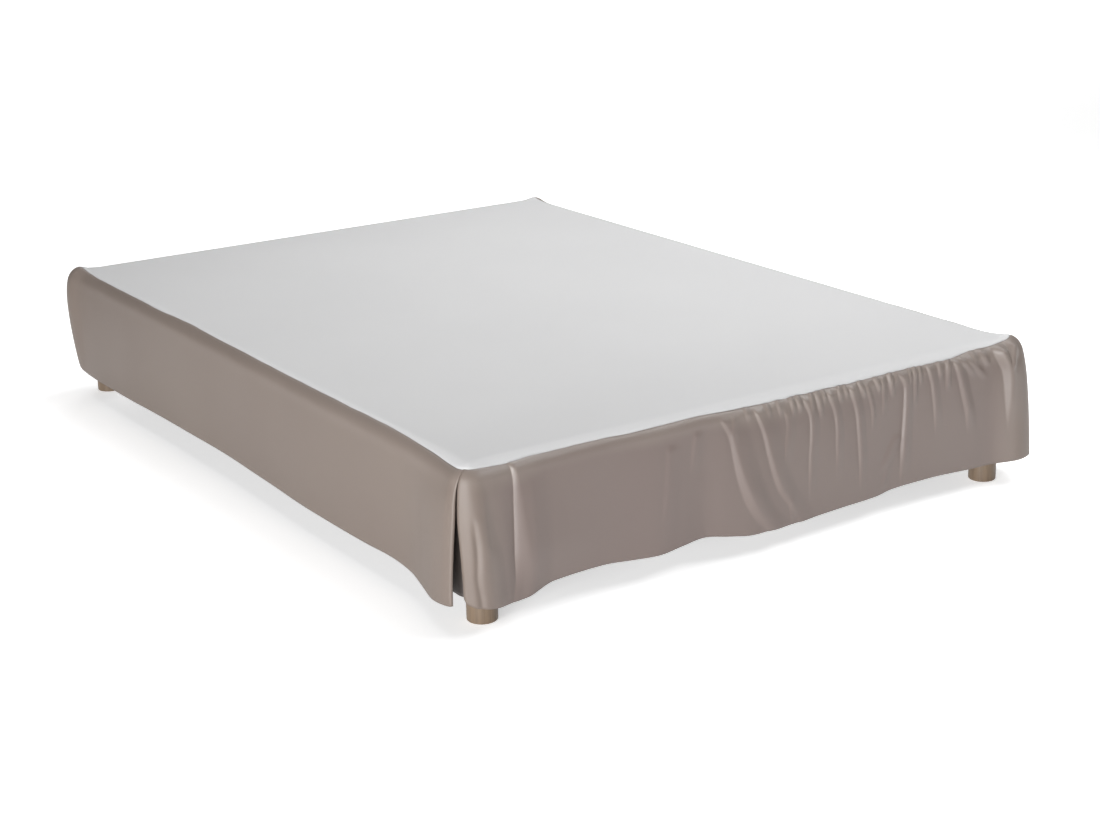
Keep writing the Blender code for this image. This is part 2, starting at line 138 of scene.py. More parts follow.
def dust_cloth():
    """Black spun-bonded cloth, a felt of short fibres pressed in a fine dot pattern."""
    material, tree, shader, place = start_material("spunbond_dust_cloth")
    fibres = add_node(tree, "ShaderNodeTexNoise", {"Scale": 220.0, "Detail": 8.0}, Vector=place)
    dots = add_node(tree, "ShaderNodeTexVoronoi", {"Scale": 420.0, "Randomness": 0.1}, Vector=place)
    tone = two_tones(tree, fibres.outputs["Fac"], DUST_CLOTH, DUST_CLOTH_FIBRE)
    tree.links.new(tone, shader.inputs["Base Color"])
    emboss(tree, shader, dots.outputs["Distance"], 0.4, 0.0004)
    shader.inputs["Roughness"].default_value = 0.9
    return material


def make_object(bm, name, material):
    """An object of one material from a mesh."""
    mesh = bpy.data.meshes.new(name)
    bm.to_mesh(mesh)
    bm.free()
    mesh.materials.append(material)
    made = bpy.data.objects.new(name, mesh)
    bpy.context.scene.collection.objects.link(made)
    return made


def finish_piece(bm, name, material, slot, *nodes):
    """Make a piece of the bed from a mesh, in the place of its CAD nodes."""
    piece = make_object(bm, name, material)
    piece.data.shade_smooth()
    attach(piece, "root")
    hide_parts(*nodes)
    return piece


def cut_in_grid(bm, low, high, step):
    """Cut the faces along evenly spaced upright and level planes."""
    for axis in range(3):
        count = max(round((high[axis] - low[axis]) / step), 1)
        for index in range(1, count):
            spot = [0.0, 0.0, 0.0]
            spot[axis] = low[axis] + (high[axis] - low[axis]) * index / count
            normal = [0.0, 0.0, 0.0]
            normal[axis] = 1.0
            whole = list(bm.verts) + list(bm.edges) + list(bm.faces)
            bmesh.ops.bisect_plane(bm, geom=whole, plane_co=spot, plane_no=normal)


def build_base():
    """The padded box, its cover slightly uneven where it is pulled round the frame."""
    low, high = (Vector(corner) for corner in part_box("base_box"))
    bm = bmesh.new()
    bmesh.ops.create_cube(bm, size=1.0)
    bmesh.ops.scale(bm, vec=high - low, verts=bm.verts)
    bmesh.ops.translate(bm, vec=(low + high) / 2, verts=bm.verts)
    underside = low.z + UNDER_ROUND / 4
    padded = [edge for edge in bm.edges if any(vertex.co.z > underside for vertex in edge.verts)]
    bmesh.ops.bevel(bm, geom=padded, offset=EDGE_ROUND, segments=EDGE_STEPS, profile=0.5, affect="EDGES")
    under = [edge for edge in bm.edges if all(vertex.co.z < underside for vertex in edge.verts)]
    bmesh.ops.bevel(bm, geom=under, offset=UNDER_ROUND, segments=UNDER_STEPS, profile=0.5, affect="EDGES")
    cut_in_grid(bm, low, high, COVER_GRID)
    for vertex in bm.verts:
        if vertex.co.z > low.z + UNDER_ROUND:
            dip = (1.0 + noise.noise(vertex.co * COVER_WAVES)) / 2
            vertex.co -= (vertex.co - (low + high) / 2).normalized() * COVER_UNEVEN * dip
    for face in bm.faces:
        face.material_index = 1 if face.calc_center_median().z < underside else 0
    base = finish_piece(bm, "padded_base", ticking(), "base_cover", "base_box")
    base.data.materials.append(dust_cloth())


build_base()


# ------------------------------------------------------------------ The feet
# Four beech dowels, turned, with the rims eased, sanded and oiled.  Each is screwed up into the base frame
# near a corner, and its lower end shows under the hem.

LEG_RIM = 0.003
LEG_TOP_RIM = 0.001
LEG_RIM_STEPS = 6
LEG_SIDES = 64
LEG_RINGS = (0.25, 0.5, 0.75)
WELD = 0.00001
WOOD_LIGHT = (0.148, 0.102, 0.064, 1.0)
WOOD_DARK = (0.098, 0.066, 0.041, 1.0)


def grey(value):
    """A grey, for a ramp that feeds a roughness."""
    return (value, value, value, 1.0)


def oiled_beech():
    """Light beech with upright grain, short flecks and an oiled, low gloss."""
    material, tree, shader, place = start_material("oiled_beech")
    along_grain = add_node(tree, "ShaderNodeMapping", {"Scale": (1.0, 1.0, 0.05)}, Vector=place)
    bands = {"Scale": 28.0, "Distortion": 5.0, "Detail": 3.0, "Detail Scale": 2.0}
    rings = add_node(tree, "ShaderNodeTexWave", bands, Vector=along_grain.outputs["Vector"])
    fibre = add_node(tree, "ShaderNodeTexNoise", {"Scale": 420.0, "Detail": 6.0},
                     Vector=along_grain.outputs["Vector"])
    tone = sum_of(tree, rings.outputs["Fac"], fibre.outputs["Fac"], 0.22, 0.78)
    tree.links.new(two_tones(tree, tone, WOOD_DARK, WOOD_LIGHT, 0.2, 0.75), shader.inputs["Base Color"])
    emboss(tree, shader, fibre.outputs["Fac"], 0.25, 0.0004)
    tree.links.new(two_tones(tree, fibre.outputs["Fac"], grey(0.55), grey(0.42)), shader.inputs["Roughness"])
    shader.inputs["Coat Weight"].default_value = 0.08
    shader.inputs["Coat Roughness"].default_value = 0.35
    return material


def rounded_rim(radius, rim, height, turned_up):
    """The points of an eased rim, from its flat end to its side, or back again."""
    points = []
    for step in range(LEG_RIM_STEPS + 1):
        angle = math.pi / 2 * step / LEG_RIM_STEPS
        out = radius - rim + rim * math.sin(angle)
        inset = rim - rim * math.cos(angle)
        points.append((out, height + inset if turned_up else height - inset))
    return points if turned_up else points[::-1]


def build_leg(node, wood):
    """One turned leg, in the place of its node."""
    low, high = (Vector(corner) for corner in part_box(node))
    radius = (high.x - low.x) / 2
    height = high.z - low.z
    profile = [(0.0, 0.0)] + rounded_rim(radius, LEG_RIM, 0.0, True)
    profile += [(radius, height * share) for share in LEG_RINGS]
    profile += rounded_rim(radius, LEG_TOP_RIM, height, False) + [(0.0, height)]
    bm = bmesh.new()
    middle = ((low + high) / 2).to_2d()
    corners = [bm.verts.new((middle.x + out, middle.y, low.z + up)) for out, up in profile]
    edges = [bm.edges.new(pair) for pair in zip(corners, corners[1:])]
    bmesh.ops.spin(bm, geom=corners + edges, cent=(*middle, 0.0), axis=(0.0, 0.0, 1.0),
                   angle=math.tau, steps=LEG_SIDES)
    bmesh.ops.remove_doubles(bm, verts=bm.verts, dist=WELD)
    bmesh.ops.recalc_face_normals(bm, faces=bm.faces)
    finish_piece(bm, node.replace("leg_", "turned_leg_"), wood, "leg_wood", node)


beech = oiled_beech()
for leg_node in ("leg_foot_left", "leg_foot_right", "leg_head_left", "leg_head_right"):
    build_leg(leg_node, beech)


# ------------------------------------------------------------------ The platform
# One piece of pale grey polycotton that lies flat on the base and rolls over its rounded edges to the seam.
# At the head end it wraps over the edge and ends in a narrow hem of its own.

CLOTH = 0.0015
SEAT_GAP = 0.0004
LAYER_GAP = 0.0008
SEAM_GAP = 0.0007
EDGE_CLEARANCE = 0.002
SHOULDER = 0.031
BASE_CORNER = Vector(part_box("base_box")[1])
DROP_OFFSET = EDGE_CLEARANCE + 1.5 * CLOTH + LAYER_GAP
SHOULDER_X = BASE_CORNER.x + DROP_OFFSET - SHOULDER
SHOULDER_Y = BASE_CORNER.y + DROP_OFFSET - SHOULDER
SHOULDER_Z = BASE_CORNER.z + SEAT_GAP + CLOTH / 2 - SHOULDER
QUARTER_TURN = SHOULDER * math.pi / 2
SIDE_START = SHOULDER_X + QUARTER_TURN
SIDE_MIDDLE = SIDE_START + SHOULDER_Y
SIDE_END = SIDE_START + 2 * SHOULDER_Y
HEAD_START = SIDE_END + QUARTER_TURN
HEAD_MIDDLE = HEAD_START + SHOULDER_X
HEAD_WRAP = 0.030
HEAD_HEM_DROP = 0.018
PLEAT_TOP = math.radians(50.5)

# The seam's angle over the rounded edge in degrees, and how far it is lifted off the edge
FOOT_SEAM = (
    # metres right of the middle, angle, lift
    (-0.700, 49, 0.004), (-0.665, 50, 0.002), (-0.630, 53, 0.0), (-0.590, 52, 0.0),
    (-0.555, 48, 0.0), (-0.520, 47, 0.0), (-0.400, 46, 0.0), (-0.330, 50, 0.0),
    (-0.270, 49, 0.0), (-0.215, 48, 0.0), (-0.155, 47, 0.0), (-0.105, 52, 0.0),
    (-0.050, 55, 0.0), (0.010, 57, 0.0), (0.070, 57, 0.0), (0.200, 57, 0.0),
    (0.290, 56, 0.0), (0.340, 55, 0.0), (0.450, 54, 0.0), (0.510, 54, 0.0),
    (0.560, 43, 0.0), (0.620, 42, 0.001), (0.665, 37, 0.006), (0.700, 33, 0.012),
)
LEFT_SEAM = (
    # metres from the bed's middle towards the head, angle, lift
    (-0.944, 49, 0.004), (-0.920, 48, 0.003), (-0.880, 44, 0.0), (-0.820, 36, 0.0),
    (-0.760, 30, 0.0), (-0.680, 25, 0.0), (-0.580, 24, 0.0), (-0.450, 26, 0.0),
    (-0.300, 27, 0.0), (-0.150, 26, 0.0), (0.020, 24, 0.0), (0.160, 23, 0.0),
    (0.300, 20, 0.0), (0.430, 28, 0.0), (0.600, 27, 0.0), (0.800, 28, 0.0),
    (0.885, 25, 0.002), (0.923, 23, 0.007), (0.947, 28, 0.009), (0.972, 34, 0.005),
    (1.003, 38, 0.0),
)
RIGHT_SEAM = (
    # metres from the bed's middle towards the head, angle, lift
    (-0.944, 33, 0.012), (-0.920, 36, 0.007), (-0.870, 31, 0.0), (-0.790, 22, 0.0),
    (-0.640, 20, 0.0), (-0.430, 22, 0.0), (-0.340, 30, 0.0), (-0.120, 32, 0.0),
    (0.110, 29, 0.0), (0.290, 31, 0.0), (0.450, 27, 0.0), (0.500, 34, 0.0),
    (0.660, 30, 0.0), (0.810, 31, 0.0), (0.885, 29, 0.001), (0.923, 28, 0.005),
    (0.947, 31, 0.007), (0.972, 35, 0.004), (1.003, 38, 0.0),
)
# The seam pulls both cloths down this far, within this distance of it
SEAM_DIP = 0.0009
SEAM_DIP_REACH = 0.0022
# The seam's ripples, and where along the foot end its gathers begin, are full, grow less and end
SEAM_RIPPLE = 0.0004
SEAM_GATHERED_RIPPLE = 0.0005
SEAM_RIPPLE_SPACING = 0.028
SEAM_GATHERED = (-0.15, 0.05, 0.52, 0.62)
SIDE_SEAM_RIPPLE = 0.0005
SIDE_SEAM_RIPPLE_SPACING = 0.060
PLATFORM_PUCKER = 0.00025
PLATFORM_PUCKER_SPACING = 0.016

PLATFORM_STEP = 0.0065
PLATFORM_CORNER_STEP = 0.004
PLATFORM_INSETS = (0.0, 0.006, 0.014, 0.025, 0.040, 0.060, 0.085, 0.115, 0.150, 0.195, 0.250, 0.315,
                   0.390, 0.475, 0.570, SHOULDER_X)
PLATFORM_EDGE_SHARES = (0.14, 0.28, 0.42, 0.56, 0.69, 0.80, 0.88, 0.94, 0.975, 1.0)
PLATFORM_UNEVEN = 0.0006
PLATFORM_UNEVEN_FROM = 0.04
PLATFORM_WAVES = (4.0, 4.0)
PLATFORM_SMALL_WAVES = (11.0, 9.0)
PLATFORM_TAUTNESS = 0.4
PLATFORM_LIGHT = (0.490, 0.490, 0.493, 1.0)
PLATFORM_SHADE = (0.470, 0.470, 0.474, 1.0)
PLATFORM_THREAD = 0.0009
CLOTH_GLOSS = 0.9
HEM_LINE = 0.0008


def read_table(rows, place):
    """The values at a place, on a smooth curve through the table's rows."""
    place = min(max(place, rows[0][0]), rows[-1][0])
    index = 0
    while index < len(rows) - 2 and rows[index + 1][0] <= place:
        index += 1
    before = rows[max(index - 1, 0)]
    low = rows[index]
    high = rows[index + 1]
    after = rows[min(index + 2, len(rows) - 1)]
    span = high[0] - low[0]
    share = (place - low[0]) / span
    values = []
    for column in range(1, len(low)):
        slope_low = (high[column] - before[column]) / (high[0] - before[0])
        slope_high = (after[column] - low[column]) / (after[0] - low[0])
        values.append(
            low[column] * (1 + 2 * share) * (1 - share) ** 2
            + high[column] * (3 - 2 * share) * share**2
            + slope_low * span * share * (1 - share) ** 2
            - slope_high * span * (1 - share) * share**2
        )
    return values


def ease(share):
    """0 to 1 with a soft start and end."""
    share = min(max(share, 0.0), 1.0)
    return share * share * (3 - 2 * share)


def ring_frame(along):
    """The shoulder's centre and outward direction, in plan, at a distance along the skirt."""
    side = math.copysign(1.0, along)
    rest = abs(along)
    if rest <= SHOULDER_X:
        return Vector((along, -SHOULDER_Y)), Vector((0.0, -1.0))
    if rest <= SIDE_START:
        turn = (rest - SHOULDER_X) / SHOULDER
        return Vector((side * SHOULDER_X, -SHOULDER_Y)), Vector((side * math.sin(turn), -math.cos(turn)))
    if rest <= SIDE_END:
        return Vector((side * SHOULDER_X, rest - SIDE_MIDDLE)), Vector((side, 0.0))
    if rest <= HEAD_START:
        turn = (rest - SIDE_END) / SHOULDER
        return Vector((side * SHOULDER_X, SHOULDER_Y)), Vector((side * math.cos(turn), math.sin(turn)))
    return Vector((side * (HEAD_MIDDLE - rest), SHOULDER_Y)), Vector((0.0, 1.0))


def arc_height(fall):
    """The height of the cloth at a fall over the rounded edge."""
    if fall < QUARTER_TURN:
        return SHOULDER_Z + SHOULDER * math.cos(fall / SHOULDER)
    return SHOULDER_Z - (fall - QUARTER_TURN)


def cloth_point(along, fall, proud):
    """A point of the cloth, fall metres over the rounded edge and standing proud of it."""
    centre, outward = ring_frame(along)
    tilt = min(fall / SHOULDER, math.pi / 2)
    spot = centre + outward * ((SHOULDER + proud) * math.sin(tilt))
    return Vector((spot.x, spot.y, arc_height(fall) + proud * math.cos(tilt)))


def waver(place, spacing, seed):
    """A smooth, uneven wave from -1 to 1 with a typical spacing."""
    return 2.0 * noise.noise(Vector((place / spacing, seed, 0.37)))


def unevenness(across, up, waves, seed):
    """Smooth noise from -1 to 1, with a number of waves to the metre across and up."""
    return noise.noise(Vector((across * waves[0], up * waves[1], seed)))


def gathered_share(along, stretch):
    """How gathered the cloth is, from 0 to 1, by where its gathers begin, are full, grow less and end."""
    begin, full, less, end = stretch
    return ease((along - begin) / (full - begin)) * ease((end - along) / (end - less))


def seam_line(along):
    """The fall and the lift of the seam at a distance along the skirt."""
    if abs(along) <= SHOULDER_X + SHOULDER * PLEAT_TOP:
        angle, lift = read_table(FOOT_SEAM, along)
        ripple = SEAM_RIPPLE + SEAM_GATHERED_RIPPLE * gathered_share(along, SEAM_GATHERED)
        ripple *= waver(along, SEAM_RIPPLE_SPACING, seed=1.7)
    else:
        table = LEFT_SEAM if along < 0 else RIGHT_SEAM
        angle, lift = read_table(table, abs(along) - SIDE_MIDDLE)
        ripple = SIDE_SEAM_RIPPLE * waver(along, SIDE_SEAM_RIPPLE_SPACING, seed=4.1)
    return SHOULDER * math.radians(angle) + ripple, lift


def seam_dip(distance):
    """How far the stitches pull the cloth down at a distance from the seam."""
    return SEAM_DIP * math.exp(-((distance / SEAM_DIP_REACH) ** 2))


def evenly(start, end, step):
    """Evenly spaced places from start to end, no further apart than the step."""
    pieces = max(math.ceil((end - start) / step - 0.01), 1)
    return [start + (end - start) * piece / pieces for piece in range(pieces + 1)]


def in_stretches(start, *stretches):
    """Places from start on, in stretches that each have an end and a step."""
    places = [start]
    for end, step in stretches:
        places += evenly(places[-1], end, step)[1:]
    return places


def platform_point(along, share):
    """A point of the platform over the rounded edge; a share of 1 is the seam or the head hem."""
    seam_fall, lift = seam_line(along)
    past_drop = ease((abs(along) - HEAD_START - HEAD_WRAP) / HEAD_WRAP)
    edge_fall = seam_fall - SEAM_GAP / 2
    edge_fall += (QUARTER_TURN + HEAD_HEM_DROP - edge_fall) * past_drop
    fall = edge_fall * share
    pull = PLATFORM_PUCKER * waver(along, PLATFORM_PUCKER_SPACING, seed=9.3) * share**4
    proud = lift * ease(share) + (pull - seam_dip(edge_fall - fall)) * (1.0 - past_drop)
    return cloth_point(along, fall, proud), fall


def flat_point(along, inset):
    """A point of the flat top, inset metres inside the start of the rounded edge."""
    centre, _ = ring_frame(along)
    x = max(inset - SHOULDER_X, min(SHOULDER_X - inset, centre.x))
    y = max(inset - SHOULDER_Y, min(SHOULDER_Y - inset, centre.y))
    slack = unevenness(x, y, PLATFORM_WAVES, seed=2.1)
    slack += unevenness(x, y, PLATFORM_SMALL_WAVES, seed=6.6) / 2
    rise = PLATFORM_UNEVEN * max(slack + PLATFORM_TAUTNESS, 0.0) * ease(inset / PLATFORM_UNEVEN_FROM)
    return Vector((x, y, SHOULDER_Z + SHOULDER + rise))


def passing(tree, value, start, end, first=0.0, second=1.0):
    """A number that passes smoothly from the first to the second as the value passes from start to end."""
    share = tree.nodes.new("ShaderNodeMapRange")
    share.interpolation_type = "SMOOTHSTEP"
    for socket, number in (("From Min", start), ("From Max", end), ("To Min", first), ("To Max", second)):
        share.inputs[socket].default_value = number
    tree.links.new(value, share.inputs["Value"])
    return share.outputs[0]


def cloth_tones(tree, tone, shade, light):
    """A cloth's colour, from its shade to its light tone."""
    return two_tones(tree, tone, shade, light, 0.32, 0.68)


def woven_cloth(name, light, shade, thread, roughness, sheen, hem=0.0, drift=None):
    """Plain-woven cloth: threads both ways, faint patches of tone, a soft sheen and a hem's fold line.

    A drift changes the colour and the gloss from place to place.
    """
    material, tree, shader, place = start_material(name)
    cut = tree.nodes.new("ShaderNodeUVMap")
    cut.uv_map = "cut"
    split = tree.nodes.new("ShaderNodeSeparateXYZ")
    tree.links.new(cut.outputs["UV"], split.inputs[0])
    waves = [worked_out(tree, "SINE", worked_out(tree, "MULTIPLY", split.outputs[axis], math.pi / thread))
             for axis in ("X", "Y")]
    weave = worked_out(tree, "MULTIPLY", *waves)
    slubs = add_node(tree, "ShaderNodeTexNoise", {"Scale": 900.0, "Detail": 3.0}, Vector=cut.outputs["UV"])
    patches = add_node(tree, "ShaderNodeTexNoise", {"Scale": 2.4, "Detail": 4.0, "Roughness": 0.45},
                       Vector=place)
    tone = sum_of(tree, patches.outputs["Fac"], slubs.outputs["Fac"], 0.75, 0.25)
    colour = cloth_tones(tree, tone, shade, light)
    shader.inputs["Specular IOR Level"].default_value = CLOTH_GLOSS
    if drift:
        colour = drift(tree, split, tone, colour, shader)
    tree.links.new(colour, shader.inputs["Base Color"])
    height = sum_of(tree, weave, slubs.outputs["Fac"], 0.5, 0.6)
    if hem:
        fold = passing(tree, split.outputs["Y"], hem - HEM_LINE, hem + HEM_LINE, 1.0, 0.0)
        height = sum_of(tree, height, fold, 1.0, 1.2)
    emboss(tree, shader, height, 0.22, 0.0003)
    rough = two_tones(tree, slubs.outputs["Fac"], grey(roughness + 0.05), grey(roughness - 0.05))
    tree.links.new(rough, shader.inputs["Roughness"])
    shader.inputs["Sheen Weight"].default_value = sheen
    shader.inputs["Sheen Roughness"].default_value = 0.45
    return material


def thicken(piece):
    """Give a sheet the cloth's thickness, evenly to both faces."""
    modifier = piece.modifiers.new("cloth thickness", "SOLIDIFY")
    modifier.thickness = CLOTH
    modifier.offset = 0.0
    modifier.use_even_offset = True


def build_platform():
    """The whole platform as rows of points round the bed, from its middle out to its edge."""
    half = in_stretches(SHOULDER_X, (SIDE_START, PLATFORM_CORNER_STEP), (SIDE_END, PLATFORM_STEP),
                        (HEAD_START, PLATFORM_CORNER_STEP), (HEAD_MIDDLE, PLATFORM_STEP))
    foot = evenly(-SHOULDER_X, SHOULDER_X, PLATFORM_STEP)
    places = foot[1:-1] + half + [-place for place in reversed(half[:-1])]
    bm = bmesh.new()
    bmesh.ops.create_circle(bm, segments=len(places), radius=1.0)
    station = bm.verts.layers.int.new("station")
    turned = bm.verts.layers.float.new("turned over the edge")
    bm.verts.ensure_lookup_table()
    for index, vertex in enumerate(bm.verts):
        vertex[station] = index
        vertex.co = flat_point(places[index], PLATFORM_INSETS[-1])
    border = list(bm.edges)
    rows = [("flat", inset) for inset in reversed(PLATFORM_INSETS[:-1])]
    rows += [("edge", share) for share in PLATFORM_EDGE_SHARES]
    for kind, value in rows:
        grown = bmesh.ops.extrude_edge_only(bm, edges=border)["geom"]
        border = [item for item in grown if isinstance(item, bmesh.types.BMEdge)]
        for vertex in [item for item in grown if isinstance(item, bmesh.types.BMVert)]:
            along = places[vertex[station]]
            if kind == "flat":
                vertex.co = flat_point(along, value)
            else:
                vertex.co, vertex[turned] = platform_point(along, value)
    bmesh.ops.remove_doubles(bm, verts=bm.verts, dist=2 * WELD)
    bmesh.ops.recalc_face_normals(bm, faces=bm.faces)
    cut = bm.loops.layers.uv.new("cut")
    for face in bm.faces:
        for loop in face.loops:
            spot = loop.vert.co.to_2d()
            if loop.vert[turned] > 0.0:
                centre, outward = ring_frame(places[loop.vert[station]])
                spot = centre + outward * loop.vert[turned]
            loop[cut].uv = spot
    weave = woven_cloth("pale_polycotton", PLATFORM_LIGHT, PLATFORM_SHADE, PLATFORM_THREAD,
                        roughness=0.75, sheen=0.08)
    platform = finish_piece(bm, "platform_sheet", weave, "platform_cloth", "platform")
    thicken(platform)


build_platform()


# ------------------------------------------------------------------ The foot drop
# One strip of taupe microfibre, sewn to the platform along its top, a little gathered towards the right,
# and turned up in a blind hem.  It flares out at both corners, where its ends are folded back at the pleats.

FOOT_HEM = (
    # metres right of the middle, hem height, stands out
    (-0.7006, 0.076, 0.030), (-0.6975, 0.066, 0.030), (-0.693, 0.060, 0.031), (-0.684, 0.054, 0.034),
    (-0.665, 0.050, 0.036), (-0.630, 0.047, 0.032), (-0.590, 0.048, 0.019),
    (-0.555, 0.055, 0.009), (-0.520, 0.061, 0.003), (-0.400, 0.062, 0.003), (-0.330, 0.056, 0.007),
    (-0.270, 0.053, 0.012), (-0.215, 0.057, 0.008), (-0.155, 0.060, 0.003), (-0.105, 0.053, 0.012),
    (-0.050, 0.046, 0.021), (0.010, 0.047, 0.022), (0.070, 0.046, 0.020), (0.200, 0.049, 0.015),
    (0.290, 0.050, 0.011), (0.340, 0.055, 0.007), (0.450, 0.057, 0.008), (0.510, 0.055, 0.009),
    (0.560, 0.053, 0.011), (0.620, 0.053, 0.014), (0.665, 0.056, 0.034), (0.700, 0.060, 0.048),
)
PLEAT_EDGES = (
    # share of the way down, side drop, foot drop, in degrees round the corner
    (0.00, 52, 49), (0.10, 61, 59), (0.36, 62, 60), (0.57, 64, 55), (0.82, 66, 50), (1.00, 66, 48),
)
# The drops' columns in that table
SIDE_EDGE = 0
FOOT_EDGE = 1
PLEAT_BLEND = 0.080
FLARE_BEND = 0.35
BELLY_LEAN = 0.6
LIFT_FALLOFF = 3
# How much of a drop's end rolls in at the pleat, and how deep
FOOT_ROLL = 0.0050
FOOT_ROLL_DEPTH = 0.009
SIDE_ROLL = 0.0022
SIDE_ROLL_DEPTH = 0.0045
ROLL_AT_SEAM = 0.15
ROLL_FULL_AT = 0.35
ROLL_SHARES = (1.0, 0.85, 0.70, 0.57, 0.45, 0.34, 0.24, 0.16, 0.09, 0.04, 0.01, 0.0)

# Folds of the foot drop.  Each has a crisp left foot, a left flank that climbs steeply and rounds over to
# the crest, and a long right flank.  A fold whose path goes below the floor line runs on into the hem.
FOOT_FOLDS = (
    # steepness at the top, at the low end, left flank at the top, at the low end, its softness, right flank,
    # path of the left flank from the top down: metres right of the middle, height
    (1.05, 1.12, 0.008, 0.050, 0.9, 0.250,
     ((-0.605, 0.316), (-0.599, 0.286), (-0.598, 0.230), (-0.598, 0.140), (-0.596, 0.090),
      (-0.601, 0.060), (-0.612, 0.0))),
    (0.36, 0.20, 0.009, 0.012, 0.5, 0.040,
     ((-0.249, 0.272), (-0.253, 0.215), (-0.258, 0.165), (-0.268, 0.085))),
    (0.52, 0.36, 0.008, 0.008, 0.5, 0.030,
     ((-0.181, 0.288), (-0.187, 0.245), (-0.193, 0.195))),
    (0.85, 0.90, 0.005, 0.025, 0.4, 0.050,
     ((-0.120, 0.302), (-0.097, 0.258), (-0.089, 0.219), (-0.079, 0.175), (-0.064, 0.131),
      (-0.046, 0.094), (-0.014, 0.056), (0.035, 0.0))),
    (0.40, 0.30, 0.006, 0.007, 0.5, 0.018,
     ((-0.086, 0.304), (-0.092, 0.275), (-0.098, 0.240))),
    (1.20, 0.80, 0.005, 0.013, 0.4, 0.045,
     ((-0.036, 0.306), (-0.017, 0.253), (-0.007, 0.208), (0.004, 0.167), (0.018, 0.130), (0.038, 0.101),
      (0.061, 0.068), (0.105, 0.0))),
    (0.40, 0.30, 0.006, 0.008, 0.5, 0.016,
     ((0.040, 0.110), (0.046, 0.090), (0.052, 0.045))),
    (0.75, 0.35, 0.006, 0.007, 0.5, 0.026,
     ((0.040, 0.292), (0.045, 0.255), (0.038, 0.215), (0.034, 0.165))),
    (1.40, 0.70, 0.0045, 0.0055, 0.4, 0.026,
     ((0.088, 0.307), (0.105, 0.264), (0.105, 0.218), (0.101, 0.173), (0.101, 0.075))),
    (1.50, 0.55, 0.0045, 0.0055, 0.4, 0.022,
     ((0.152, 0.308), (0.170, 0.263), (0.175, 0.225), (0.175, 0.180), (0.176, 0.105))),
    (1.70, 0.75, 0.0045, 0.006, 0.4, 0.024,
     ((0.210, 0.309), (0.229, 0.254), (0.235, 0.201), (0.240, 0.140), (0.244, 0.058))),
    (1.20, 0.55, 0.004, 0.005, 0.4, 0.012,
     ((0.256, 0.304), (0.273, 0.249), (0.276, 0.190))),
    (1.20, 0.55, 0.004, 0.005, 0.4, 0.012,
     ((0.302, 0.310), (0.306, 0.270), (0.306, 0.215))),
    (1.80, 1.50, 0.0040, 0.0070, 0.4, 0.030,
     ((0.343, 0.313), (0.366, 0.281), (0.368, 0.246), (0.366, 0.198), (0.363, 0.157), (0.362, 0.110),
      (0.362, 0.052))),
    (1.80, 1.00, 0.0038, 0.0050, 0.4, 0.024,
     ((0.428, 0.316), (0.441, 0.277), (0.448, 0.240), (0.453, 0.200), (0.459, 0.140))),
    (1.80, 1.10, 0.0045, 0.0080, 0.4, 0.028,
     ((0.505, 0.310), (0.520, 0.270), (0.531, 0.229), (0.542, 0.192), (0.553, 0.130))),
    (1.00, 0.60, 0.006, 0.010, 0.5, 0.020,
     ((0.511, 0.314), (0.540, 0.287), (0.564, 0.258))),
    (0.90, 0.50, 0.006, 0.010, 0.5, 0.020,
     ((0.534, 0.312), (0.568, 0.277), (0.596, 0.246))),
    (1.50, 1.20, 0.016, 0.004, 0.4, 0.030,
     ((0.622, 0.314), (0.643, 0.276), (0.649, 0.250), (0.652, 0.200), (0.655, 0.120))),
    (1.40, 1.20, 0.014, 0.004, 0.4, 0.016,
     ((0.667, 0.316), (0.663, 0.290), (0.656, 0.258))),
    (0.26, 0.32, 0.014, 0.018, 0.5, 0.026,
     ((0.345, 0.178), (0.318, 0.134), (0.294, 0.094))),
    (0.24, 0.28, 0.008, 0.010, 0.5, 0.018,
     ((0.322, 0.116), (0.300, 0.058))),
)
# Short gathers just under the seam
FOOT_GATHERS = (
    # at the seam, at the low end, height of the low end, steepness, flank
    (0.058, 0.062, 0.268, 0.30, 0.0060),
    (0.073, 0.080, 0.272, 0.34, 0.0060),
    (0.110, 0.109, 0.268, 0.30, 0.0060),
    (0.123, 0.134, 0.248, 0.36, 0.0070),
    (0.141, 0.146, 0.280, 0.26, 0.0055),
    (0.183, 0.187, 0.270, 0.36, 0.0060),
    (0.197, 0.208, 0.276, 0.34, 0.0055),
    (0.234, 0.256, 0.268, 0.36, 0.0065),
    (0.278, 0.298, 0.272, 0.36, 0.0065),
    (0.320, 0.333, 0.254, 0.38, 0.0070),
    (0.347, 0.337, 0.272, 0.26, 0.0055),
    (0.378, 0.384, 0.274, 0.28, 0.0060),
    (0.393, 0.395, 0.222, 0.36, 0.0065),
    (0.409, 0.411, 0.266, 0.34, 0.0055),
    (0.461, 0.467, 0.264, 0.32, 0.0060),
    (0.488, 0.486, 0.238, 0.32, 0.0070),
    (-0.012, 0.002, 0.276, 0.20, 0.0070),
    (-0.060, -0.052, 0.280, 0.20, 0.0075),
    (0.022, 0.030, 0.272, 0.24, 0.0065),
    (0.578, 0.604, 0.272, 0.24, 0.0090),
    (0.555, 0.572, 0.286, 0.26, 0.0060),
)
# A gather as a fold: the slopes of its two ends and the widths of its flanks, as shares of the table's
GATHER_SLOPES = (3.2, 2.4)
GATHER_FLANKS = (0.9, 1.9)
GATHER_SOFTNESS = 0.4
GATHER_TOP = 0.320
# Where on its left flank a fold's path runs, how it starts and how it fades towards its low end or the hem
FOLD_FOOT_SHARE = 0.38
FOLD_STARTS_IN = 0.016
FOLD_FADES_FROM = 0.60
FOLD_LOST_AT_HEM = 0.65
FOLD_LOSES_BELOW = 0.150
FOLD_LOSES_OVER = 0.100
